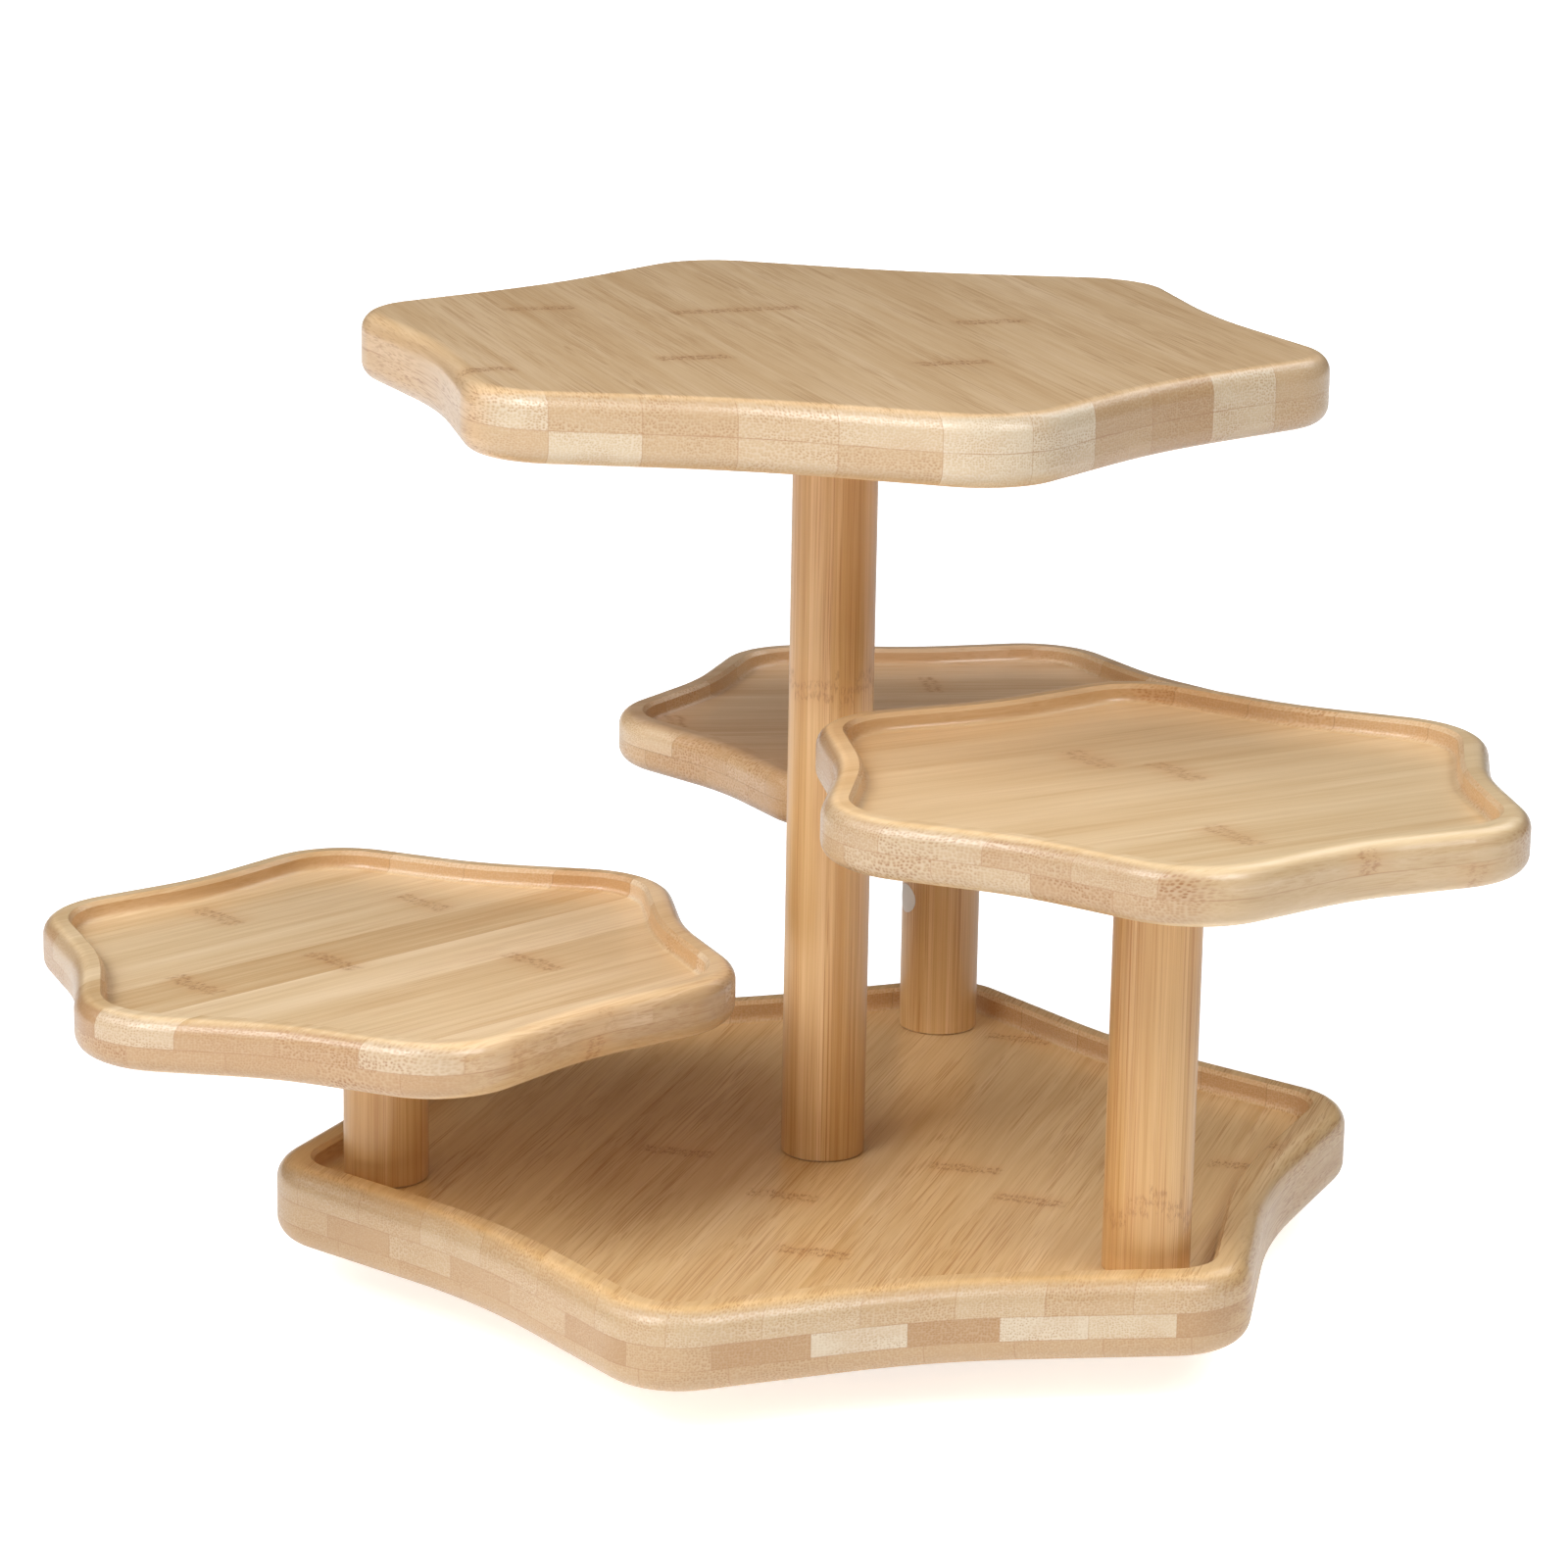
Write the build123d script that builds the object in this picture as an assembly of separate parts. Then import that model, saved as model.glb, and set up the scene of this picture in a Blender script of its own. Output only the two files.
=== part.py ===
from build123d import *
from math import acos, atan2, cos, hypot, pi, radians, sin
import os

# Tiered bamboo turntable, millimetres, +Z up.
# Origin: the spin axis, in the plane of the surface that the turntable stands on.
# -Y is the front.

# ---------------------------------------------------------------- sizes
# foot and bearing
RING_OUT_R, RING_IN_R, RING_T = 86.0, 74.0, 2.5      # rubber ring under the foot
RING_GROOVE = 1.0                                     # how far the ring sits in the foot
FOOT_R, FOOT_T, FOOT_EDGE = 90.0, 8.0, 2.0            # round bamboo foot
FOOT_Z = RING_T - RING_GROOVE                         # underside of the foot
ACCESS_R, ACCESS_AT = 8.0, 59.4                       # hole for a screwdriver
PLATE_SIDE, PLATE_T, PLATE_CORNER = 100.0, 1.2, 8.0   # square bearing plates
BEARING_H = 8.0                                       # over both plates
BEARING_SINK = 2.0                                    # the bearing's seat in the foot
BEARING_Z = FOOT_Z + FOOT_T - BEARING_SINK
BEARING_MID = BEARING_Z + BEARING_H / 2
BALL_R, BALL_CIRCLE_R, BALL_COUNT = 2.4, 36.0, 24
CAGE_T, CAGE_HALF_W = 1.0, 3.6
SCREW_AT = 42.0                                       # plate screws at (+-42, +-42)
SCREW_R, SCREW_LEN = 1.75, 7.5                        # below the head
SCREW_HEAD_R, SCREW_HEAD_H = 3.4, 1.9

# boards
BASE_Z = BEARING_Z + BEARING_H                        # underside of the base tray
BASE_T, BASE_RECESS = 24.2, 7.0
FLOOR_Z = BASE_Z + BASE_T - BASE_RECESS               # base tray's floor
POST_CIRCLE_R, POST_PHASE = 132.4, 13.3
POST_R = 12.5
BOARD_FITS = dict(                                    # lobe reach, valley reach, lobe radius, valley radius, edge round-over
    base=(164.6, 138.6, 24.2, 202.0, 6.6),
    top=(141.8, 121.7, 28.0, 214.0, 5.4),
    tray=(105.0, 91.1, 29.7, 98.0, 4.8),
)
TOP_T = 19.8
TRAY_T, TRAY_RECESS = 16.0, 5.5
BASE_RIM, TRAY_RIM = 11.0, 8.6                        # rim width, outline to recess wall
BASE_COVE, TRAY_COVE = 2.5, 2.2                       # rounding where recess wall meets floor
RIM_EASE = 1.2                                        # inner rim edge
TOP_FACE_Z = FLOOR_Z + 249.2
LEFT_FACE_Z = FLOOR_Z + 72.9
BACK_FACE_Z = FLOOR_Z + 106.4
RIGHT_FACE_Z = FLOOR_Z + 145.6
TOP_PHASE, LEFT_PHASE, BACK_PHASE, RIGHT_PHASE = 48.5, 45.2, 66.2, 30.8

# fastenings
BOLT_R, BOLT_HEAD_R, BOLT_HEAD_H = 3.0, 6.0, 3.3      # M6 countersunk, hex socket
BOLT_IN_POST = 18.0
INSERT_R, INSERT_L = 4.75, 14.0                       # brass threaded insert in a post
STUD_R, STUD_IN_POST = 3.0, 22.0                      # M6 double-ended stud
STUD_ABOVE = 9.0                                      # stud above the washer
WASHER_R, WASHER_T = 11.0, 1.0                        # fibre washer a tray swivels on
SWIVEL_GAP = 0.15
CUP_R, CUP_L = 4.75, 9.6                              # brass insert in a tray's underside
RUN = 0.06                                            # running clearance, radial
PILOT = 0.05                                          # clearance round shanks held in wood
LABEL_R, LABEL_T, LABEL_Z, LABEL_AT = 4.7, 0.12, FLOOR_Z + 44.3, 205.6


def lobe_curve(kind, inset=0.0):
    """Closed six-lobed outline: lobe arc, straight flank, valley arc, flank, six times over."""
    reach, valley, rc, rv, _ = BOARD_FITS[kind]
    dc, dv = reach - rc, valley + rv
    rc, rv = rc - inset, rv + inset
    c2 = (dv * cos(pi / 6), dv * sin(pi / 6))
    d = (c2[0] - dc, c2[1])
    n = atan2(d[1], d[0]) - acos((rc + rv) / hypot(*d))
    t1 = (dc + rc * cos(n), rc * sin(n))
    t2 = (c2[0] - rv * cos(n), c2[1] - rv * sin(n))

    def turn(p, deg, flip=False):
        x, y = p[0], (-p[1] if flip else p[1])
        a = radians(deg)
        return (x * cos(a) - y * sin(a), x * sin(a) + y * cos(a))

    edges = []
    for k in range(6):
        a = 60.0 * k
        edges.append(ThreePointArc(turn(t1, a, True), turn((dc + rc, 0), a), turn(t1, a)))
        edges.append(Line(turn(t1, a), turn(t2, a)))
        edges.append(
            ThreePointArc(turn(t2, a), turn((valley - inset, 0), a + 30.0), turn(t2, a + 60.0, True))
        )
        edges.append(Line(turn(t2, a + 60.0, True), turn(t1, a + 60.0, True)))
    return make_face(edges)


def board(kind, thick, z_low, phase, centre):
    """A flat board of the outline with both outer edges rounded over."""
    q = BOARD_FITS[kind][4]
    s = extrude(lobe_curve(kind), thick)
    rims = [e for e in s.edges() if abs(e.center().Z) < 1e-6 or abs(e.center().Z - thick) < 1e-6]
    s = fillet(rims, q)
    return Pos(centre[0], centre[1], z_low) * Rot(0, 0, phase) * s


def recess(kind, rim, depth, cove, ease, z_face, phase, centre):
    """The cutter for a tray's recess: coved at the floor, eased at the rim."""
    body = extrude(lobe_curve(kind, rim), depth + 2.0)
    low = [e for e in body.edges() if abs(e.center().Z) < 1e-6]
    body = fillet(low, cove)
    flare = loft([
        Pos(0, 0, depth - ease) * lobe_curve(kind, rim),
        Pos(0, 0, depth + 0.01) * lobe_curve(kind, rim - ease),
    ]) if ease else None
    cut = body if flare is None else body + flare
    return Pos(centre[0], centre[1], z_face - depth) * Rot(0, 0, phase) * cut


def polar(r, deg):
    return (r * cos(radians(deg)), r * sin(radians(deg)))


def tube(r_out, r_in, z0, z1, at=(0, 0)):
    return Pos(at[0], at[1], (z0 + z1) / 2) * (Cylinder(r_out, z1 - z0) - Cylinder(r_in, z1 - z0 + 2))


def rod(r, z0, z1, at=(0, 0)):
    return Pos(at[0], at[1], (z0 + z1) / 2) * Cylinder(r, z1 - z0)


def turned(points):
    """A solid of revolution about Z from (r, z) points."""
    pts = [(r, 0, z) for r, z in points]
    return revolve(make_face(Polyline(*pts, close=True)), Axis.Z)


CENTRE = (0.0, 0.0)
BACK = polar(POST_CIRCLE_R, POST_PHASE + 60)
LEFT = polar(POST_CIRCLE_R, POST_PHASE + 180)
RIGHT = polar(POST_CIRCLE_R, POST_PHASE + 300)
SCREWS = [(sx * SCREW_AT, sy * SCREW_AT) for sx in (1, -1) for sy in (1, -1)]
nodes = {}

# ---------------------------------------------------------------- foot
ring = tube(RING_OUT_R, RING_IN_R, 0.0, RING_T)
nodes["non_slip_ring"] = fillet(ring.edges().filter_by(GeomType.CIRCLE).group_by(Axis.Z)[0], 0.6)

foot = rod(FOOT_R, FOOT_Z, FOOT_Z + FOOT_T)
foot = fillet(foot.edges().filter_by(GeomType.CIRCLE), FOOT_EDGE)
foot -= tube(RING_OUT_R, RING_IN_R, FOOT_Z - 1.0, FOOT_Z + RING_GROOVE)
seat = extrude(RectangleRounded(PLATE_SIDE + 1.0, PLATE_SIDE + 1.0, PLATE_CORNER + 0.5), BEARING_SINK + 1.0)
foot -= Pos(0, 0, BEARING_Z) * seat
foot -= rod(ACCESS_R, FOOT_Z - 1, FOOT_Z + FOOT_T + 1, (ACCESS_AT, 0))
for p in SCREWS:
    foot -= rod(SCREW_R + PILOT, BEARING_Z - 5.0, BEARING_Z + 1, p)
nodes["foot_disc"] = foot

# ---------------------------------------------------------------- bearing
B0, B1 = BEARING_Z, BEARING_Z + BEARING_H
GAP = 0.15                                            # ball to race
LIP = 1.1                                             # thickness of the race's lips
track = BALL_R + 0.55                                 # half width between the lips
lower = extrude(RectangleRounded(PLATE_SIDE, PLATE_SIDE, PLATE_CORNER), PLATE_T)
lower = Pos(0, 0, B0) * lower - rod(BALL_CIRCLE_R, B0 - 1, B1)
# the pressed part: outer lip, race, inner lip, then a raised inner rim for the hook
r_o, r_i = BALL_CIRCLE_R + track, BALL_CIRCLE_R - track
race_z = BEARING_MID - BALL_R - GAP
lower += turned([
    (BALL_CIRCLE_R - 0.1, B0 + 0.35), (r_o + LIP + 1.4, B0), (r_o + LIP + 1.4, B0 + PLATE_T), (r_o + LIP, B0 + PLATE_T),
    (r_o + LIP, B0 + 2.6), (r_o, B0 + 2.6), (r_o, race_z), (r_i, race_z), (r_i, B0 + 2.6), (r_i - LIP, B0 + 2.6),
    (r_i - LIP, B0 + 3.4), (25.2, B0 + 3.4), (25.2, B0 + 2.4), (r_i - LIP - 0.9, B0 + 2.4), (r_i - LIP - 0.9, B0 + 0.35),
])
for p in SCREWS:
    lower -= rod(SCREW_R + PILOT, B0 - 1, B0 + 3, p)
nodes["bearing_lower_plate"] = lower

upper = extrude(RectangleRounded(PLATE_SIDE, PLATE_SIDE, PLATE_CORNER), PLATE_T)
upper = Pos(0, 0, B1 - PLATE_T) * upper - rod(BALL_CIRCLE_R, B0, B1 + 1)
up_race = BEARING_MID + BALL_R + GAP
upper += turned([
    (BALL_CIRCLE_R - 0.1, B1 - 0.35), (r_o + LIP + 1.4, B1), (r_o + LIP + 1.4, B1 - PLATE_T), (r_o + LIP, B1 - PLATE_T),
    (r_o + LIP, B1 - 2.6), (r_o, B1 - 2.6), (r_o, up_race), (r_i, up_race), (r_i, B1 - 2.6), (r_i - LIP, B1 - 2.6),
    (r_i - LIP, B1 - 1.3), (24.6, B1 - 1.3), (24.6, B0 + 1.9), (27.6, B0 + 1.9), (27.6, B0 + 0.9), (23.5, B0 + 0.9),
    (23.5, B1 - 0.2),
])
for p in SCREWS:
    upper -= rod(SCREW_R + PILOT, B1 - 3, B1 + 1, p)
nodes["bearing_upper_plate"] = upper

cage = tube(BALL_CIRCLE_R + CAGE_HALF_W, BALL_CIRCLE_R - CAGE_HALF_W, BEARING_MID - CAGE_T / 2, BEARING_MID + CAGE_T / 2)
balls = []
for k in range(BALL_COUNT):
    p = polar(BALL_CIRCLE_R, 360.0 / BALL_COUNT * k + 7.5)
    cage -= rod(BALL_R + 0.08, BEARING_MID - 2, BEARING_MID + 2, p)
    balls.append(Pos(p[0], p[1], BEARING_MID) * Sphere(BALL_R))
nodes["bearing_ball_cage"] = cage
nodes["bearing_balls"] = Compound(balls)


def pan_screw(p, z, up):
    """A pan-head wood screw with a cross recess; its head's bearing face is at z."""
    head = rod(SCREW_HEAD_R, 0, SCREW_HEAD_H)
    head = fillet(head.edges().filter_by(GeomType.CIRCLE).group_by(Axis.Z)[-1], 1.1)
    head -= Pos(0, 0, SCREW_HEAD_H) * (Box(3.4, 0.8, 2.0) + Box(0.8, 3.4, 2.0))
    tip = SCREW_LEN - 1.6
    shank = turned([(0, 0.05), (SCREW_R, 0.05), (SCREW_R, -tip), (0.3, -SCREW_LEN), (0, -SCREW_LEN)])
    s = head + shank
    if up:
        s = Rot(180, 0, 0) * s
    return Pos(p[0], p[1], z) * s


low_len = min(SCREW_LEN, 4.8)
SCREW_LEN_FULL = SCREW_LEN
SCREW_LEN = low_len + 1.2
nodes["bearing_lower_screws"] = Compound([pan_screw(p, B0 + PLATE_T, False) for p in SCREWS])
SCREW_LEN = SCREW_LEN_FULL + 4.0
nodes["bearing_upper_screws"] = Compound([pan_screw(p, B1 - PLATE_T, True) for p in SCREWS])
UPPER_PILOT = SCREW_LEN + 0.6

# ---------------------------------------------------------------- base tray
q_base = BOARD_FITS["base"][4]
base = board("base", BASE_T, BASE_Z, POST_PHASE, CENTRE)
base -= recess("base", BASE_RIM, BASE_RECESS, BASE_COVE, RIM_EASE, BASE_Z + BASE_T, POST_PHASE, CENTRE)
for p in SCREWS:
    base -= rod(SCREW_R + PILOT, BASE_Z - 1, BASE_Z - PLATE_T + UPPER_PILOT, p)
bolt_len = BASE_T - BASE_RECESS + BOLT_IN_POST
for p in (CENTRE, BACK, LEFT, RIGHT):
    base -= rod(BOLT_R + 0.2, BASE_Z - 1, FLOOR_Z + 1, p)
    base -= Pos(p[0], p[1], 0) * turned([
        (0, BASE_Z - 0.1), (BOLT_HEAD_R + 0.35, BASE_Z - 0.1), (BOLT_HEAD_R + 0.35, BASE_Z + 0.5),
        (BOLT_R + 0.2, BASE_Z + 0.5 + BOLT_HEAD_H), (0, BASE_Z + 0.5 + BOLT_HEAD_H)])
nodes["base_tray"] = base


def post_bolt(p):
    """M6 countersunk bolt with a hex socket, from under the base into the post's insert."""
    z = BASE_Z + 0.4
    s = turned([(0, z), (BOLT_HEAD_R, z), (BOLT_HEAD_R, z + 0.4), (BOLT_R, z + 0.4 + BOLT_HEAD_H - 0.3),
                (BOLT_R, BASE_Z + bolt_len - 0.8), (BOLT_R - 0.8, BASE_Z + bolt_len), (0, BASE_Z + bolt_len)])
    s -= Pos(0, 0, z) * extrude(RegularPolygon(2.3, 6), 2.0)
    return Pos(p[0], p[1], 0) * s


def post(p, face_z, thick):
    """A round post between the base tray's floor and the washer under a board."""
    z1 = face_z - thick - WASHER_T - SWIVEL_GAP
    s = rod(POST_R, FLOOR_Z, z1, p)
    s = chamfer(s.edges().filter_by(GeomType.CIRCLE), 0.6)
    s -= rod(INSERT_R + PILOT, FLOOR_Z - 1, FLOOR_Z + INSERT_L + 0.5, p)
    s -= rod(BOLT_R + 0.3, FLOOR_Z, FLOOR_Z + BOLT_IN_POST + 1.5, p)
    s -= rod(STUD_R + PILOT, z1 - STUD_IN_POST - 0.5, z1 + 1, p)
    return s, z1


def post_insert(p):
    """Brass insert with a coarse outside thread, flush in the post's lower end."""
    z = FLOOR_Z + 0.2
    s = tube(INSERT_R, BOLT_R + RUN, z, z + INSERT_L, p)
    for k in range(6):
        a = z + 1.6 + 2.0 * k
        s -= tube(INSERT_R + 1, INSERT_R - 0.6, a, a + 0.8, p)
    return s


def board_insert(p, z_under):
    """Blind brass cup pressed into a board's underside; it turns on the stud."""
    s = rod(CUP_R, z_under + 0.2, z_under + 0.2 + CUP_L, p) - rod(STUD_R + RUN, z_under - 1, z_under + 0.2 + CUP_L - 1.0, p)
    for k in range(4):
        a = z_under + 1.6 + 2.0 * k
        s -= tube(CUP_R + 1, CUP_R - 0.5, a, a + 0.8, p)
    return s


def stud(p, z1):
    lo, hi = z1 - STUD_IN_POST, z1 + WASHER_T + SWIVEL_GAP + STUD_ABOVE - 0.8
    return Pos(p[0], p[1], 0) * turned([(0, lo), (STUD_R - 0.9, lo), (STUD_R, lo + 1.2), (STUD_R, hi - 0.6),
                                        (STUD_R - 0.6, hi), (0, hi)])


spots = {
    "centre": (CENTRE, TOP_FACE_Z, TOP_T),
    "left": (LEFT, LEFT_FACE_Z, TRAY_T),
    "right": (RIGHT, RIGHT_FACE_Z, TRAY_T),
    "back": (BACK, BACK_FACE_Z, TRAY_T),
}
studs, washers, bolts, inserts = [], [], [], []
for name, (p, face_z, thick) in spots.items():
    s, z1 = post(p, face_z, thick)
    nodes[name + "_post"] = s
    studs.append(stud(p, z1))
    washers.append(tube(WASHER_R, STUD_R + 0.15, z1, z1 + WASHER_T, p))
    bolts.append(post_bolt(p))
    inserts.append(post_insert(p))
nodes["post_bolts"] = Compound(bolts)
nodes["post_inserts"] = Compound(inserts)
nodes["swivel_studs"] = Compound(studs)
nodes["swivel_washers"] = Compound(washers)

# ---------------------------------------------------------------- boards that swivel
top = board("top", TOP_T, TOP_FACE_Z - TOP_T, TOP_PHASE, CENTRE)
top -= rod(CUP_R + PILOT, TOP_FACE_Z - TOP_T - 1, TOP_FACE_Z - TOP_T + CUP_L + 0.6, CENTRE)
nodes["top_board"] = top
nodes["top_board_insert"] = board_insert(CENTRE, TOP_FACE_Z - TOP_T)
for name, p, face_z, phase in (
    ("left", LEFT, LEFT_FACE_Z, LEFT_PHASE),
    ("right", RIGHT, RIGHT_FACE_Z, RIGHT_PHASE),
    ("back", BACK, BACK_FACE_Z, BACK_PHASE),
):
    t = board("tray", TRAY_T, face_z - TRAY_T, phase, p)
    t -= recess("tray", TRAY_RIM, TRAY_RECESS, TRAY_COVE, RIM_EASE, face_z, phase, p)
    t -= rod(CUP_R + PILOT, face_z - TRAY_T - 1, face_z - TRAY_T + CUP_L + 0.4, p)
    nodes[name + "_tray"] = t
    nodes[name + "_tray_insert"] = board_insert(p, face_z - TRAY_T)

# ---------------------------------------------------------------- blank round label on the back post
shell = tube(POST_R + 0.02 + LABEL_T, POST_R + 0.02, LABEL_Z - 20, LABEL_Z + 20)
probe = Pos(0, 0, LABEL_Z) * Rot(0, 90, 0) * Cylinder(LABEL_R, 60, align=(Align.CENTER, Align.CENTER, Align.MIN))
nodes["blank_label"] = Pos(BACK[0], BACK[1], 0) * Rot(0, 0, LABEL_AT) * (shell & probe)

os.makedirs("parts", exist_ok=True)
for name, shape in nodes.items():
    export_step(shape, f"parts/{name}.step")
print(len(nodes), "nodes; floor", round(FLOOR_Z, 3), "base underside", BASE_Z, "back post", BACK)
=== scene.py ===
"""Looks for the tiered bamboo turntable: procedural laminated bamboo, bearing metals, rubber, floor, light and camera."""
import math

import bpy
from mathutils import Matrix, Vector


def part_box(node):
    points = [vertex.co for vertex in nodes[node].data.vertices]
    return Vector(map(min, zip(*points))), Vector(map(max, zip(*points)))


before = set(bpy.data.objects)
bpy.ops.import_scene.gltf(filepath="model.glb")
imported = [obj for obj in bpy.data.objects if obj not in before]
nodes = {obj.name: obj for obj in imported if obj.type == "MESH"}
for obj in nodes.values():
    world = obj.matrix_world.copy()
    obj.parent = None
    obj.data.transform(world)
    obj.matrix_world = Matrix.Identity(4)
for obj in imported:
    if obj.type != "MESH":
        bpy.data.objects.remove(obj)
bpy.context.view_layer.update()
scene = bpy.context.scene


# ---------------------------------------------------------------- node helpers
class Net:
    """Short calls for building a node tree."""

    def __init__(self, tree):
        self.t = tree

    def add(self, kind, **props):
        n = self.t.nodes.new(kind)
        for k, v in props.items():
            setattr(n, k, v)
        return n

    def put(self, socket, value):
        if value is None:
            return
        if isinstance(value, bpy.types.NodeSocket):
            self.t.links.new(value, socket)
        else:
            socket.default_value = value

    def math(self, op, a, b=None, c=None, clamp=False):
        n = self.add("ShaderNodeMath", operation=op, use_clamp=clamp)
        for s, v in zip(n.inputs, (a, b, c)):
            self.put(s, v)
        return n.outputs[0]

    def xyz(self, x=0.0, y=0.0, z=0.0):
        n = self.add("ShaderNodeCombineXYZ")
        for s, v in zip(n.inputs, (x, y, z)):
            self.put(s, v)
        return n.outputs[0]

    def split(self, v):
        n = self.add("ShaderNodeSeparateXYZ")
        self.put(n.inputs[0], v)
        return n.outputs

    def range(self, v, a, b, c=0.0, d=1.0, smooth=False):
        n = self.add("ShaderNodeMapRange", interpolation_type="SMOOTHSTEP" if smooth else "LINEAR")
        for s, x in zip(n.inputs[:5], (v, a, b, c, d)):
            self.put(s, x)
        return n.outputs[0]

    def noise(self, v, scale, detail=2.0, rough=0.5, dim="3D", w=None, distortion=0.0):
        n = self.add("ShaderNodeTexNoise", noise_dimensions=dim)
        if dim != "1D":
            self.put(n.inputs["Vector"], v)
        if dim in ("1D", "4D"):
            self.put(n.inputs["W"], w if w is not None else v)
        n.inputs["Scale"].default_value = scale
        n.inputs["Detail"].default_value = detail
        n.inputs["Roughness"].default_value = rough
        n.inputs["Distortion"].default_value = distortion
        return n.outputs["Fac"]

    def white(self, v, dim="3D", w=None):
        n = self.add("ShaderNodeTexWhiteNoise", noise_dimensions=dim)
        if dim != "1D":
            self.put(n.inputs["Vector"], v)
        if dim in ("1D", "4D"):
            self.put(n.inputs["W"], w)
        return n.outputs["Value"], n.outputs["Color"]

    def voronoi(self, v, scale, feature="F1", dim="2D", rand=1.0):
        n = self.add("ShaderNodeTexVoronoi", voronoi_dimensions=dim, feature=feature)
        self.put(n.inputs["Vector"], v)
        n.inputs["Scale"].default_value = scale
        n.inputs["Randomness"].default_value = rand
        return n

    def mix(self, f, a, b, mode="MIX"):
        n = self.add("ShaderNodeMix", data_type="RGBA", blend_type=mode)
        n.clamp_factor = True
        self.put(n.inputs[0], f)
        self.put(n.inputs[6], a)
        self.put(n.inputs[7], b)
        return n.outputs[2]

    def ramp(self, v, stops, mode="LINEAR"):
        n = self.add("ShaderNodeValToRGB")
        n.color_ramp.interpolation = mode
        el = n.color_ramp.elements
        while len(el) < len(stops):
            el.new(0.5)
        for e, (p, c) in zip(el, stops):
            e.position = p
            e.color = c
        self.put(n.inputs[0], v)
        return n.outputs[0]


def rgb(r, g, b):
    """sRGB 0-255 to scene linear."""
    def f(c):
        c /= 255.0
        return c / 12.92 if c <= 0.04045 else ((c + 0.055) / 1.055) ** 2.4
    return (f(r), f(g), f(b), 1.0)


def new_material(name):
    m = bpy.data.materials.new(name)
    m.use_nodes = True
    m.node_tree.nodes.clear()
    net = Net(m.node_tree)
    out = net.add("ShaderNodeOutputMaterial")
    bsdf = net.add("ShaderNodeBsdfPrincipled")
    net.put(out.inputs[0], bsdf.outputs[0])
    return m, net, bsdf


def dress(material, *names):
    for n in names:
        o = nodes[n]
        o.data.materials.clear()
        o.data.materials.append(material)
        for p in o.data.polygons:
            p.material_index = 0


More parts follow.
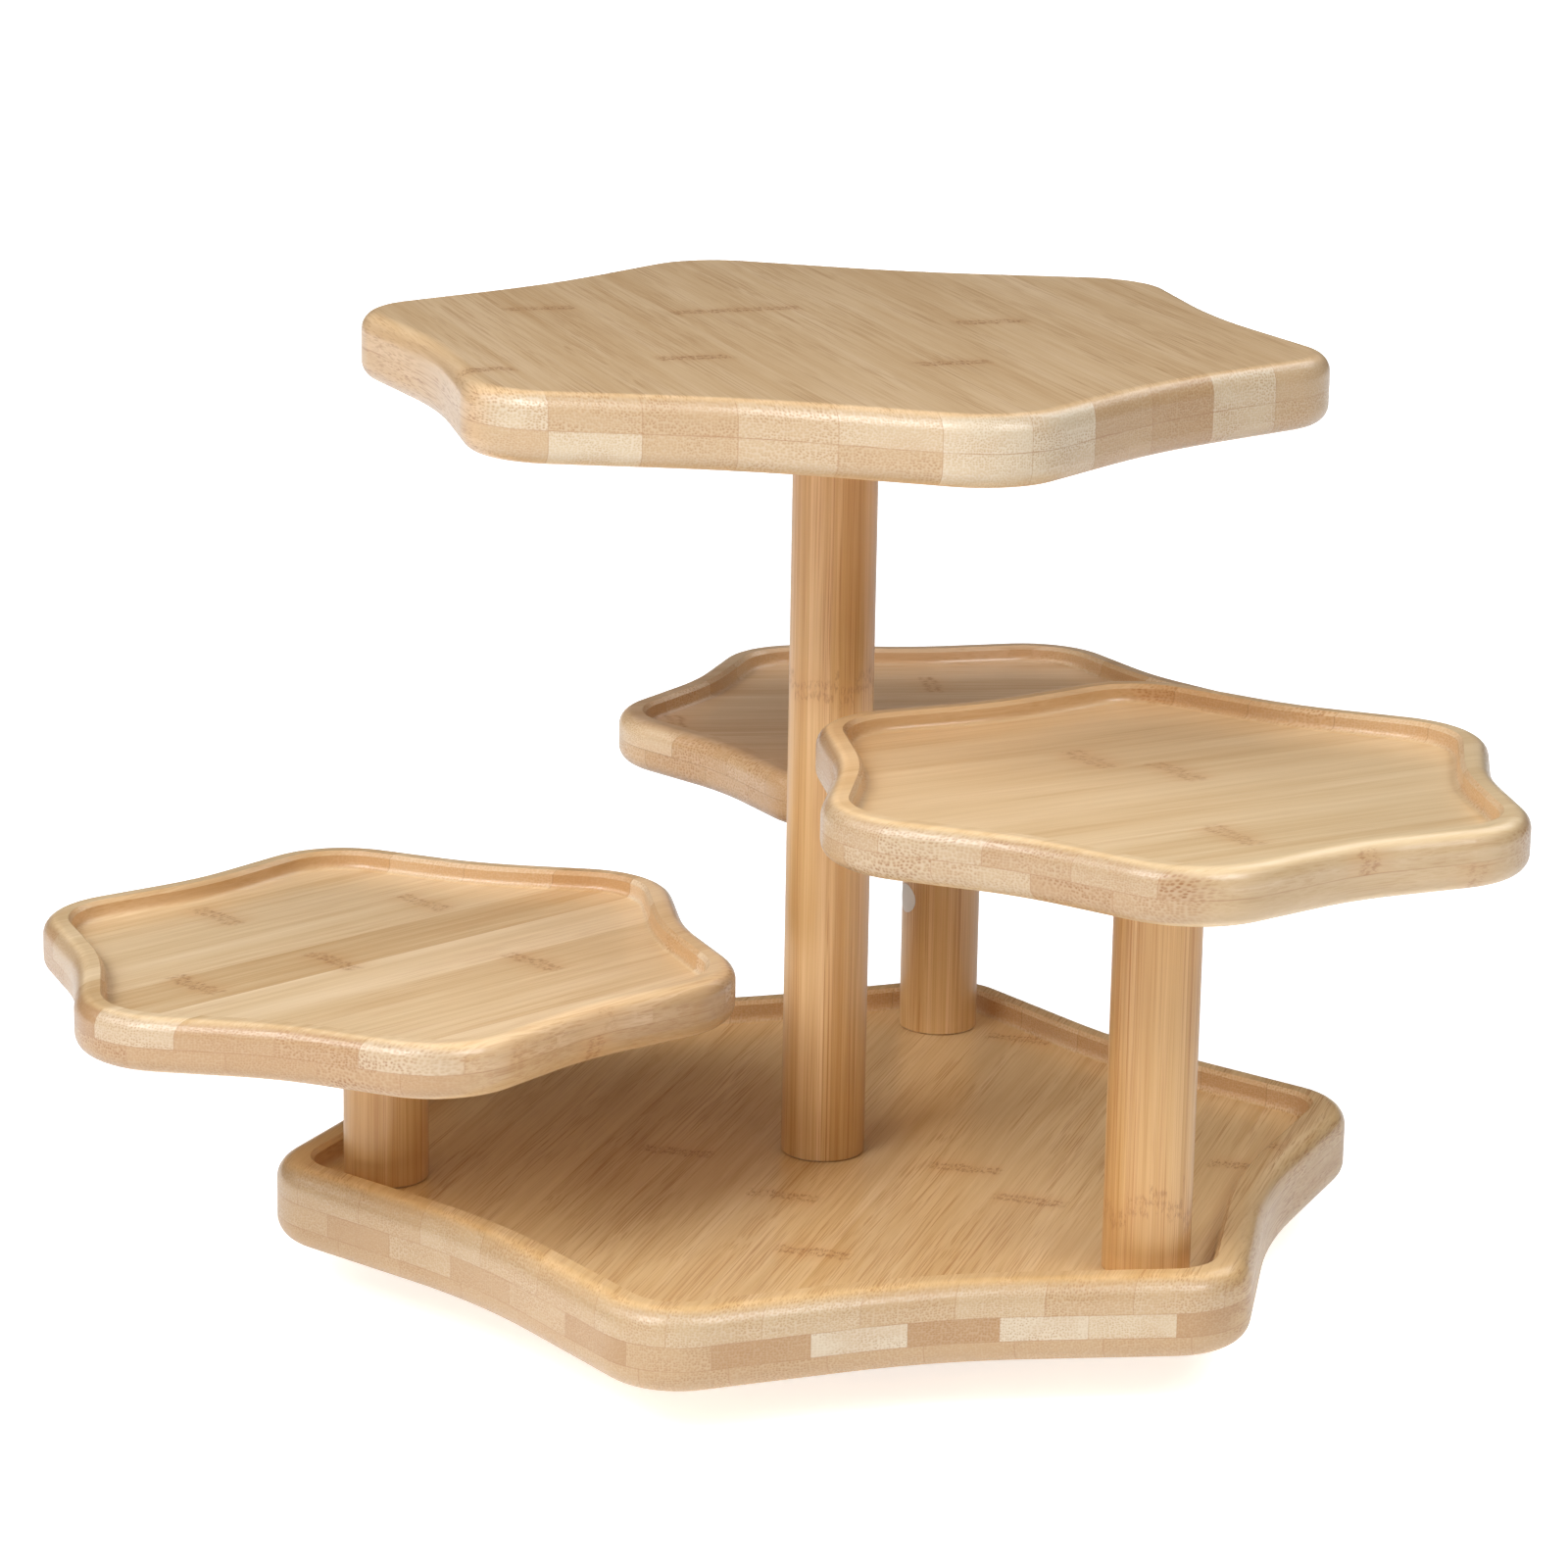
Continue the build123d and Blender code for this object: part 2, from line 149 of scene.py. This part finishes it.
# ---------------------------------------------------------------- laminated bamboo
def bamboo(name, centre, angle, z0, cuts=(8.0,), plies=None, strip=23.0, joints=(0.0, 0.0, 0.0), seed=0.0, face_tones=0.10,
           end_tones=0.8, lanes=None, clusters=(), face=(213, 178, 135), deep=(178, 132, 84), hairs=1.0, streaks=0.6, coarse=0.5,
           node_every=230.0, axis_up=False, mid_line=False, run=1.0, end_tone_and_shade=(0.8, 0.8, 0.8), painted_side_shade=(0.76, 0.72, 0.69),
           coat=0.68, node_dark=0.70):
    """Solid bamboo, so faces, fillets and end grain all come from one block.
    u runs along the grain, v across the strips, w through the plies, all in millimetres.
    The fibre bundles are a field of dots in v and w that wanders along u: dots on end grain, hairlines on the faces."""
    m, n, bsdf = new_material(name)
    S = lambda a, b: n.math("SUBTRACT", a, b)
    A = lambda a, b: n.math("ADD", a, b)
    M = lambda a, b: n.math("MULTIPLY", a, b)
    sm = lambda v, a, b, c=0.0, d=1.0: n.range(v, a, b, c, d, smooth=True)

    co = n.add("ShaderNodeTexCoord").outputs["Object"]
    sub = n.add("ShaderNodeVectorMath", operation="SUBTRACT")
    n.put(sub.inputs[0], co)
    sub.inputs[1].default_value = (centre[0], centre[1], z0)
    mm = n.add("ShaderNodeVectorMath", operation="SCALE")
    mm.inputs[3].default_value = 1000.0
    n.put(mm.inputs[0], sub.outputs[0])
    rot = n.add("ShaderNodeVectorRotate", rotation_type="Z_AXIS")
    rot.inputs["Angle"].default_value = -math.radians(angle)
    n.put(rot.inputs["Vector"], mm.outputs[0])
    x, y, z = n.split(rot.outputs[0])
    u, v, w = (z, x, y) if axis_up else (x, y, z)

    # which way the surface faces, in the same frame
    tr = n.add("ShaderNodeVectorTransform", vector_type="NORMAL", convert_from="WORLD", convert_to="OBJECT")
    n.put(tr.inputs[0], n.add("ShaderNodeNewGeometry").outputs["Normal"])
    rn = n.add("ShaderNodeVectorRotate", rotation_type="Z_AXIS")
    rn.inputs["Angle"].default_value = -math.radians(angle)
    n.put(rn.inputs["Vector"], tr.outputs[0])
    nx, ny, nz = n.split(rn.outputs[0])
    along = n.math("ABSOLUTE", nz if axis_up else nx)      # 1 on end grain
    flat = n.math("ABSOLUTE", nx if axis_up else nz)       # 1 on a ply's face
    end = sm(along, 0.22, 0.62)
    side = S(1.0, sm(flat, 0.45, 0.9))
    inward = n.range(A(M(nx, x), M(ny, y)), -12.0, -2.0, 1.0, 0.0) if not axis_up else 0.0
    outward = S(1.0, inward)

    # plies, strips and the tone of each strip
    if plies:
        ply = n.math("FLOOR", n.math("DIVIDE", A(w, 100.0), plies))
        shift = M(n.white(None, "1D", A(ply, 3.7 + seed))[0], strip)
        top_ply = 0.0
    else:
        steps = [n.math("GREATER_THAN", w, c) for c in cuts]
        ply, shift = steps[0], A(joints[0], M(steps[0], joints[1] - joints[0]))
        for k, s in enumerate(steps[1:]):
            ply, shift = A(ply, s), A(shift, M(s, joints[k + 2] - joints[k + 1]))
        top_ply = steps[-1]
    vs = n.math("DIVIDE", S(v, shift), strip)
    lane = n.math("FLOOR", vs)
    lane_f = S(vs, lane)
    tone, tone_rgb = n.white(n.xyz(lane, ply, seed))
    t1, t2, t3 = n.split(tone_rgb)
    for k, (first, tones) in (lanes or {}).items():
        fac = n.math("DIVIDE", A(S(lane, float(first)), 0.5), float(len(tones)))
        picked = n.ramp(fac, [(i / len(tones), (t, t, t, 1)) for i, t in enumerate(tones)], "CONSTANT")
        inside = M(M(n.math("GREATER_THAN", fac, 0.0), n.math("LESS_THAN", fac, 1.0)), n.math("COMPARE", ply, float(k), 0.1))
        mixn = n.add("ShaderNodeMix", data_type="FLOAT")
        n.put(mixn.inputs[0], inside)
        n.put(mixn.inputs[2], t1)
        n.put(mixn.inputs[3], picked)
        t1 = mixn.outputs[0]
    jump = M(tone, 900.0)

    # fibre bundles
    d1 = S(n.noise(n.xyz(M(u, 0.010 * run), M(v, 0.05), A(M(w, 0.06), jump)), 1.0, 1.0), 0.5)
    d2 = S(n.noise(n.xyz(M(u, 0.020 * run), M(v, 0.09), A(M(w, 0.09), A(jump, 40.0))), 1.0, 1.5), 0.5)
    big = M(sm(t2, 0.35, 0.75), coarse)                    # blocks with larger, darker bundles
    scale = A(1.42, M(big, -0.42))
    sect = n.xyz(M(A(v, M(d1, 2.6)), scale), M(A(w, M(d2, 3.4)), M(scale, 1.06)), M(lane, 3.1))
    vor = n.voronoi(sect, 1.0, rand=0.70)
    cr, cg, cb = n.split(vor.outputs["Color"])
    size = A(0.21, A(M(big, 0.08), M(cr, 0.07)))
    dot = S(1.0, n.range(vor.outputs["Distance"], M(size, 0.55), A(size, 0.13), smooth=True))
    patch = n.noise(n.xyz(M(u, 0.012), M(v, 0.07), A(M(w, 0.18), jump)), 1.0, 2.0)
    thick = sm(patch, 0.36, 0.62, 0.25, 1.0)
    dots = M(M(dot, A(0.35, M(cg, 0.65))), thick)

    # streaks along the grain at three widths, and slow drift
    vw = A(v, M(d1, 2.2))
    slow = n.noise(n.xyz(M(u, 0.006 * run), M(v, 0.07), A(M(w, 0.12), jump)), 1.0, 2.5, 0.55)
    wide = n.noise(n.xyz(M(u, 0.009 * run), M(vw, 0.36), A(M(w, 0.36), jump)), 1.0, 2.0, 0.6)
    fine = n.noise(n.xyz(M(u, 0.018 * run), M(vw, 1.45), A(M(w, 1.45), jump)), 1.0, 3.0, 0.70)
    hair = n.noise(n.xyz(M(u, 0.045 * run), M(vw, 3.1), A(M(w, 3.1), jump)), 1.0, 2.0, 0.6)

    # culm nodes: two jagged rows of short dashes
    zig = M(S(n.noise(n.xyz(M(u, 0.05), M(v, 0.20), M(w, 0.2)), 1.0, 4.0, 0.85), 0.5), 10.0)
    dash = sm(n.noise(n.xyz(M(u, 0.45), M(v, 1.5), A(M(w, 1.5), 7.0)), 1.0, 3.0, 0.75), 0.42, 0.60)
    marks, halo = None, None
    for uc, vc in clusters:
        du = n.math("ABSOLUTE", A(S(u, uc), zig))
        across = S(1.0, sm(n.math("ABSOLUTE", S(v, vc)), 9.0, 12.5))
        row = M(S(1.0, sm(n.math("ABSOLUTE", S(du, 1.6)), 0.2, 2.1)), across)
        glow = M(S(1.0, sm(du, 1.0, 11.0)), across)
        marks = row if marks is None else n.math("MAXIMUM", marks, row)
        halo = glow if halo is None else n.math("MAXIMUM", halo, glow)
    pos = A(n.math("DIVIDE", u, node_every), M(t3, 0.09) if axis_up else t3)
    pos = A(pos, seed * 0.37)
    nu = n.math("ABSOLUTE", A(M(S(n.math("FRACT", pos), 0.5), node_every), zig))
    fade = sm(n.math("ABSOLUTE", S(lane_f, 0.5)), 0.30, 0.48, 1.0, 0.2)
    row_g = M(S(1.0, sm(n.math("ABSOLUTE", S(nu, 1.6)), 0.2, 2.1)), 1.0 if axis_up else fade)
    halo_g = M(S(1.0, sm(nu, 1.0, 11.0)), fade)
    if clusters:
        on_face = M(top_ply, sm(flat, 0.5, 0.9))
        off = S(1.0, on_face)
        row_all = A(M(marks, on_face), M(row_g, off))
        halo_all = A(M(halo, on_face), M(halo_g, off))
    else:
        row_all, halo_all = row_g, halo_g
    row_all, halo_all = M(row_all, S(1.0, M(end, 0.85))), M(halo_all, S(1.0, M(end, 0.85)))
    knot = M(row_all, dash)

    # colour on the faces
    b = face
    lightc = rgb(min(255, b[0] + 17), min(255, b[1] + 21), min(255, b[2] + 27))
    midc, lowc, deepc = rgb(*b), rgb(b[0] - 22, b[1] - 29, b[2] - 34), rgb(*deep)
    k = A(0.5, M(S(slow, 0.5), 0.75))
    k = A(k, M(S(t1, 0.5), A(face_tones, M(side, 0.25))))
    k = A(k, M(S(wide, 0.5), streaks * 1.2))
    k = A(k, M(S(fine, 0.5), streaks * 0.9))
    k = A(k, M(S(hair, 0.5), streaks * 0.55))
    col = n.ramp(k, [(0.12, lowc), (0.50, midc), (0.92, lightc)])
    lines = M(sm(fine, 0.52, 0.66), M(sm(patch, 0.35, 0.62, 0.40, 1.0), 0.50 * hairs))
    lines = n.math("MAXIMUM", lines, M(dots, 0.46 * hairs))
    lines = M(lines, A(1.0, M(side, 0.35)))
    col = n.mix(lines, col, deepc)

    # colour on end grain
    te = A(0.5, M(S(t1, 0.5), end_tones))
    ground = n.ramp(te, [(0.0, rgb(200, 156, 106)), (0.28, rgb(213, 174, 127)), (0.55, rgb(224, 190, 146)), (0.78, rgb(236, 212, 175)), (1.0, rgb(246, 231, 205))])
    ground = n.mix(M(sm(slow, 0.42, 0.66), 0.35), ground, rgb(216, 178, 132))
    dotc = n.mix(big, rgb(188, 140, 90), rgb(170, 108, 52))
    e_col = n.mix(M(dots, A(0.50, M(big, 0.35))), ground, dotc)
    # pale cell walls between the bundles
    e_col = n.mix(M(M(sm(vor.outputs["Distance"], 0.42, 0.62), 0.30), sm(te, 0.35, 0.9, 0.35, 1.0)), e_col, rgb(250, 238, 216))
    # outward end grain darkened per board: partly the end grain's own darker tone, partly painted shade set per board
    # for how the lamps light each board's outer rims
    e_col = n.mix(n.math("MAXIMUM", M(outward, 1.0), 0.15), e_col, (*end_tone_and_shade, 1.0), "MULTIPLY")
    # outward long-grain sides darkened per board: painted shade, so the vertical sides read darker than the faces above
    # them
    col = n.mix(M(side, n.math("MAXIMUM", outward, 0.15)), col, (*painted_side_shade, 1.0), "MULTIPLY")
    col = n.mix(M(end, 0.94), col, e_col)
    col = n.mix(M(M(inward, side), 0.35), col, rgb(214, 158, 96))

    # nodes
    col = n.mix(M(halo_all, 0.22), col, rgb(204, 150, 94))
    col = n.mix(M(knot, node_dark), col, rgb(150, 96, 50))
    # glue lines between plies, and the joints between strips
    if not axis_up:
        near = None
        for c in cuts:
            q = n.math("ABSOLUTE", S(w, c))
            near = q if near is None else n.math("MINIMUM", near, q)
        gap = n.noise(n.xyz(M(u, 0.05), M(v, 0.05), ply), 1.0, 2.0)
        seam = M(M(S(1.0, sm(near, 0.05, 0.24)), side), sm(gap, 0.34, 0.60, 0.25, 1.0))
        if mid_line:
            half = n.math("ABSOLUTE", S(w, A(cuts[0], M(S(gap, 0.5), 1.2))))
            seam = n.math("MAXIMUM", seam, M(M(S(1.0, sm(half, 0.05, 0.22)), side), sm(gap, 0.40, 0.55)))
        col = n.mix(M(seam, 0.50), col, rgb(158, 108, 64))
    sn = n.math("MINIMUM", lane_f, S(1.0, lane_f))
    sline = S(1.0, sm(M(sn, strip), 0.04, 0.20))
    col = n.mix(M(sline, A(0.06, M(end, 0.34))), col, rgb(160, 110, 66))
    n.put(bsdf.inputs["Base Color"], col)

    # lacquer: satin coat over the wood, open bundles and fibre relief under it
    bsdf.inputs["Specular IOR Level"].default_value = 0.5
    bsdf.inputs["Coat Weight"].default_value = coat
    bsdf.inputs["Coat Roughness"].default_value = 0.20
    bsdf.inputs["Coat IOR"].default_value = 1.5
    rough = A(0.42, M(S(fine, 0.5), 0.20))
    n.put(bsdf.inputs["Roughness"], A(rough, M(M(dots, end), 0.14)))
    h = M(A(M(fine, 0.45), M(hair, 0.30)), S(1.0, end))
    h = S(h, M(M(dot, end), 0.75))
    h = S(h, M(dots, 0.25))
    h = S(h, M(knot, 0.6))
    bump = n.add("ShaderNodeBump")
    bump.inputs["Strength"].default_value = 0.30
    bump.inputs["Distance"].default_value = 0.00014
    n.put(bump.inputs["Height"], h)
    n.put(bsdf.inputs["Normal"], bump.outputs[0])
    n.put(bsdf.inputs["Coat Normal"], bump.outputs[0])
    return m


# board centres and grain: every board's grain runs along one of its lobe axes
R, PH = 0.1324, 13.3


def polar(deg):
    return (R * math.cos(math.radians(deg)), R * math.sin(math.radians(deg)))


BACK, LEFT, RIGHT = polar(PH + 60), polar(PH + 180), polar(PH + 300)


def low(node):
    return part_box(node)[0].z


# strips are 23 mm wide; the lists give the tone of the strips that show most, from one side to the other
base_wood = bamboo("bamboo_base", (0, 0), 73.3, low("base_tray"), cuts=(7.6, 14.6), joints=(3.0, 6.9, -4.5), strip=22.8, seed=1.0,
                   face_tones=0.05, end_tones=1.0, face=(222, 189, 138), deep=(174, 120, 66), hairs=1.45, streaks=0.55, coarse=0.35,
                   end_tone_and_shade=(0.71, 0.70, 0.69),
                   lanes={0: (-7, [0.42, 0.38, 0.46, 0.40, 0.44, 0.38, 0.42, 0.46, 0.40, 0.42, 0.38, 0.44, 0.40, 0.44]),
                          1: (-7, [0.10, 0.84, 0.94, 0.12, 0.97, 0.10, 0.45, 0.10, 0.52, 0.34, 0.62, 0.36, 0.55, 0.45]),
                          2: (-7, [0.60, 0.64, 0.56, 0.66, 0.58, 0.70, 0.66, 0.60, 0.52, 0.58, 0.66, 0.56, 0.62, 0.60])},
                   clusters=((-43.6, -1.2), (-86.6, -23.0), (-2.2, -45.2), (-23.6, -70.1), (27.7, -123.8), (-16.9, 40.8), (126.2, -29.1)))
dress(base_wood, "base_tray")
top_wood = bamboo("bamboo_top", (0, 0), 108.0, low("top_board"), cuts=(9.9,), joints=(16.1, 16.1), strip=23.2, seed=2.0,
                  face_tones=0.06, end_tones=0.75, end_tone_and_shade=(0.73, 0.75, 0.79), face=(231, 196, 150), deep=(178, 130, 80), hairs=1.25, streaks=0.5, coarse=0.45, mid_line=True,
                  lanes={0: (-6, [0.50, 0.80, 0.10, 0.40, 0.90, 0.90, 0.40, 0.62, 0.45, 0.85, 0.45, 0.50]),
                         1: (-6, [0.50, 0.85, 0.06, 0.18, 0.92, 0.92, 0.70, 0.62, 0.35, 0.45, 0.85, 0.60])},
                  clusters=((55.3, 74.2), (41.0, 9.1), (39.6, 27.7), (4.6, -48.3), (-36.3, 54.3), (-59.9, -13.9), (-42.9, 117.9)))
dress(top_wood, "top_board")
dress(bamboo("bamboo_left", LEFT, 44.6, low("left_tray"), cuts=(8.0,), joints=(11.0, -0.6), seed=3.0, face_tones=0.55, end_tones=0.85,
             end_tone_and_shade=(0.67, 0.61, 0.56), painted_side_shade=(0.70, 0.64, 0.59), face=(232, 203, 159), deep=(194, 142, 90), hairs=0.75, streaks=0.70, coarse=1.0, node_dark=0.60,
             lanes={0: (-5, [0.42, 0.50, 0.44, 0.50, 0.42, 0.46, 0.50, 0.44, 0.48, 0.46]),
                    1: (-5, [0.60, 0.92, 0.48, 0.50, 0.94, 0.10, 0.62, 0.70, 0.40, 0.60])},
             clusters=((-11.1, 65.1), (-58.5, 14.4), (45.1, 36.2), (29.5, -32.0), (-14.0, 6.9))), "left_tray")
dress(bamboo("bamboo_right", RIGHT, 30.0, low("right_tray"), cuts=(8.0,), joints=(-51.0, -39.0), seed=4.0, face_tones=0.10, end_tones=0.8,
             end_tone_and_shade=(0.64, 0.59, 0.55), painted_side_shade=(0.72, 0.68, 0.65), face=(229, 201, 157), deep=(196, 148, 96), hairs=0.50, streaks=0.50, coarse=0.9, node_dark=0.48,
             lanes={0: (-3, [0.5, 0.60, 0.46, 0.85, 0.8, 0.6, 0.5, 0.6]),
                    1: (-3, [0.52, 0.70, 0.62, 0.86, 0.80, 0.66, 0.6, 0.5])},
             clusters=((-2.1, 33.9), (12.5, 11.8), (-12.2, -50.5))), "right_tray")
dress(bamboo("bamboo_back", BACK, 6.2, low("back_tray"), cuts=(8.0,), joints=(4.0, -6.0), seed=5.0, face_tones=0.25, end_tones=0.8,
             end_tone_and_shade=(1.0, 1.0, 1.0), painted_side_shade=(0.95, 0.92, 0.90), face=(217, 184, 146), deep=(180, 130, 82), hairs=1.0, streaks=0.6, coarse=0.8,
             clusters=((-86.4, 4.4), (2.8, 54.7))), "back_tray")
dress(bamboo("bamboo_foot", (0, 0), 20.0, low("foot_disc"), cuts=(4.0,), joints=(2.0, -9.0), seed=6.0, face_tones=0.3, end_tones=0.8), "foot_disc")
for k, (name, c) in enumerate((("centre_post", (0, 0)), ("left_post", LEFT), ("right_post", RIGHT), ("back_post", BACK))):
    dress(bamboo("bamboo_" + name, c, 25.0 + 40 * k, low(name), plies=5.2, strip=5.0, seed=7.0 + k, face_tones=0.30, end_tones=0.6,
                 face=(217, 175, 119), deep=(176, 112, 52), hairs=1.25, streaks=0.8, coarse=0.4, node_every=170.0, axis_up=True, run=0.45,
                 painted_side_shade=(1.0, 1.0, 1.0), coat=0.30, node_dark=0.42), name)


# ---------------------------------------------------------------- other materials
def metal(name, color, rough, grain=900.0, brushed=False):
    m, n, bsdf = new_material(name)
    co = n.add("ShaderNodeTexCoord").outputs["Object"]
    a = n.noise(co, grain, 3.0, 0.6)
    b = n.noise(co, 60.0, 2.0, 0.5)
    col = n.mix(n.range(b, 0.3, 0.7), rgb(*color), rgb(*[max(0, c - 22) for c in color]))
    n.put(bsdf.inputs["Base Color"], col)
    bsdf.inputs["Metallic"].default_value = 1.0
    n.put(bsdf.inputs["Roughness"], n.range(a, 0.3, 0.7, rough - 0.07, rough + 0.08))
    bump = n.add("ShaderNodeBump")
    bump.inputs["Strength"].default_value = 0.15
    bump.inputs["Distance"].default_value = 0.00005
    n.put(bump.inputs["Height"], a)
    n.put(bsdf.inputs["Normal"], bump.outputs[0])
    return m


def moulded(name, color, rough, grain=2500.0, depth=0.00006):
    m, n, bsdf = new_material(name)
    co = n.add("ShaderNodeTexCoord").outputs["Object"]
    a = n.noise(co, grain, 2.0, 0.5)
    b = n.noise(co, 45.0, 3.0, 0.6)
    lo = [max(0, c - 8) for c in color]
    hi = [min(255, c + 8) for c in color]
    n.put(bsdf.inputs["Base Color"], n.mix(n.range(b, 0.3, 0.7), rgb(*lo), rgb(*hi)))
    n.put(bsdf.inputs["Roughness"], n.range(a, 0.3, 0.7, rough - 0.06, rough + 0.06))
    bump = n.add("ShaderNodeBump")
    bump.inputs["Strength"].default_value = 0.35
    bump.inputs["Distance"].default_value = depth
    n.put(bump.inputs["Height"], a)
    n.put(bsdf.inputs["Normal"], bump.outputs[0])
    return m


dress(metal("zinc_sheet", (196, 198, 200), 0.34), "bearing_lower_plate", "bearing_upper_plate")
dress(metal("zinc_fastener", (188, 188, 186), 0.30), "bearing_lower_screws", "bearing_upper_screws", "post_bolts", "swivel_studs")
dress(metal("ball_steel", (214, 215, 218), 0.12, 1500.0), "bearing_balls")
dress(metal("insert_brass", (205, 168, 92), 0.28), "post_inserts", "top_board_insert", "left_tray_insert", "right_tray_insert", "back_tray_insert")
dress(moulded("foot_rubber", (38, 38, 40), 0.72), "non_slip_ring")
dress(moulded("cage_nylon", (222, 216, 200), 0.42), "bearing_ball_cage")
dress(moulded("washer_fibre", (112, 58, 40), 0.6), "swivel_washers")
dress(moulded("label_paper", (226, 222, 216), 0.5, 4000.0, 0.00002), "blank_label")

# ---------------------------------------------------------------- floor, light, camera
floor_mesh = bpy.data.meshes.new("floor")
S = 6.0
floor_mesh.from_pydata([(-S, -S, 0), (S, -S, 0), (S, S, 0), (-S, S, 0)], [], [(0, 1, 2, 3)])
floor = bpy.data.objects.new("floor", floor_mesh)
scene.collection.objects.link(floor)
fm, fnet, fb = new_material("floor_white")
fco = fnet.add("ShaderNodeTexCoord").outputs["Object"]
fnet.put(fb.inputs["Base Color"], fnet.mix(fnet.noise(fco, 3.0, 2.0), (0.93, 0.93, 0.93, 1), (0.95, 0.95, 0.95, 1)))
fb.inputs["Roughness"].default_value = 0.8
fb.inputs["Emission Color"].default_value = (1, 1, 1, 1)
# a glowing tabletop, as in a light tent; it shows brighter than it lights
fnet.put(fb.inputs["Emission Strength"], fnet.range(fnet.add("ShaderNodeLightPath").outputs["Is Camera Ray"], 0.0, 1.0, 0.22, 0.66))
floor_mesh.materials.append(fm)

world = bpy.data.worlds.new("studio")
scene.world = world
world.use_nodes = True
wn = Net(world.node_tree)
bg = world.node_tree.nodes["Background"]
bg.inputs[0].default_value = (1, 1, 1, 1)
# the room is dim, but the backdrop that the camera sees is white
wn.put(bg.inputs[1], wn.range(wn.add("ShaderNodeLightPath").outputs["Is Camera Ray"], 0.0, 1.0, 0.06, 1.0))


def area(name, at, look, size, power, color=(1, 1, 1), size_y=None):
    d = bpy.data.lights.new(name, "AREA")
    d.shape = "RECTANGLE" if size_y else "SQUARE"
    d.size = size
    if size_y:
        d.size_y = size_y
    d.energy = power
    d.color = color
    o = bpy.data.objects.new(name, d)
    scene.collection.objects.link(o)
    o.location = at
    o.rotation_euler = (Vector(look) - Vector(at)).to_track_quat("-Z", "Y").to_euler()
    return o


def lamp(name, azimuth, elevation, power, size=0.9, reach=1.9, glossy=True):
    a, e = math.radians(azimuth), math.radians(elevation)
    at = (reach * math.cos(a) * math.cos(e), reach * math.sin(a) * math.cos(e), 0.12 + reach * math.sin(e))
    o = area(name, at, (0, 0, 0.12), size, power)
    o.visible_glossy = glossy
    return o


lamp("key", -135, 45, 21.0)
lamp("fill", -45, 45, 15.5)
lamp("front", -90, 45, 1.5)
# the two low lamps would mirror in the flat boards when seen from behind
lamp("low", -130, 20, 5.2, glossy=False)
lamp("level", -90, 20, 2.0, glossy=False)
lamp("high", -120, 70, 2.5)
lamp("rim", 45, 45, 5.0)
lamp("side", 180, 35, 6.2)
# the backdrop's own light stays off the object: a narrow spread, aimed at the floor far behind
back = area("backdrop", (0, 2.9, 2.4), (0, 3.0, 0), 3.6, 34.0, size_y=2.6)
back.data.spread = math.radians(70)

# camera, solved from the picture: origin of the solve is the base tray's floor on the centre post's axis
F_PX, PITCH, ROLL = 4925.1, math.radians(14.731), math.radians(-0.981)
TX, TY, Z0 = 0.013429, -0.10984, 1.454738
FLOOR_Z = 0.0327
right = Vector((1, 0, 0))
up0 = Vector((0, math.sin(PITCH), math.cos(PITCH)))
fwd = Vector((0, math.cos(PITCH), -math.sin(PITCH)))
eye = -TX * right - TY * up0 - Z0 * fwd + Vector((0, 0, FLOOR_Z))
img_r = right * math.cos(ROLL) - up0 * math.sin(ROLL)
img_u = right * math.sin(ROLL) + up0 * math.cos(ROLL)
cam_data = bpy.data.cameras.new("camera")
cam_data.sensor_width = 36.0
cam_data.lens = F_PX / 1600.0 * 36.0
cam_data.clip_start, cam_data.clip_end = 0.05, 50.0
cam = bpy.data.objects.new("camera", cam_data)
scene.collection.objects.link(cam)
m3 = Matrix((img_r, img_u, -fwd)).transposed()
cam.matrix_world = Matrix.Translation(eye) @ m3.to_4x4()
scene.camera = cam
scene.view_settings.view_transform = "Standard"
scene.view_settings.look = "None"
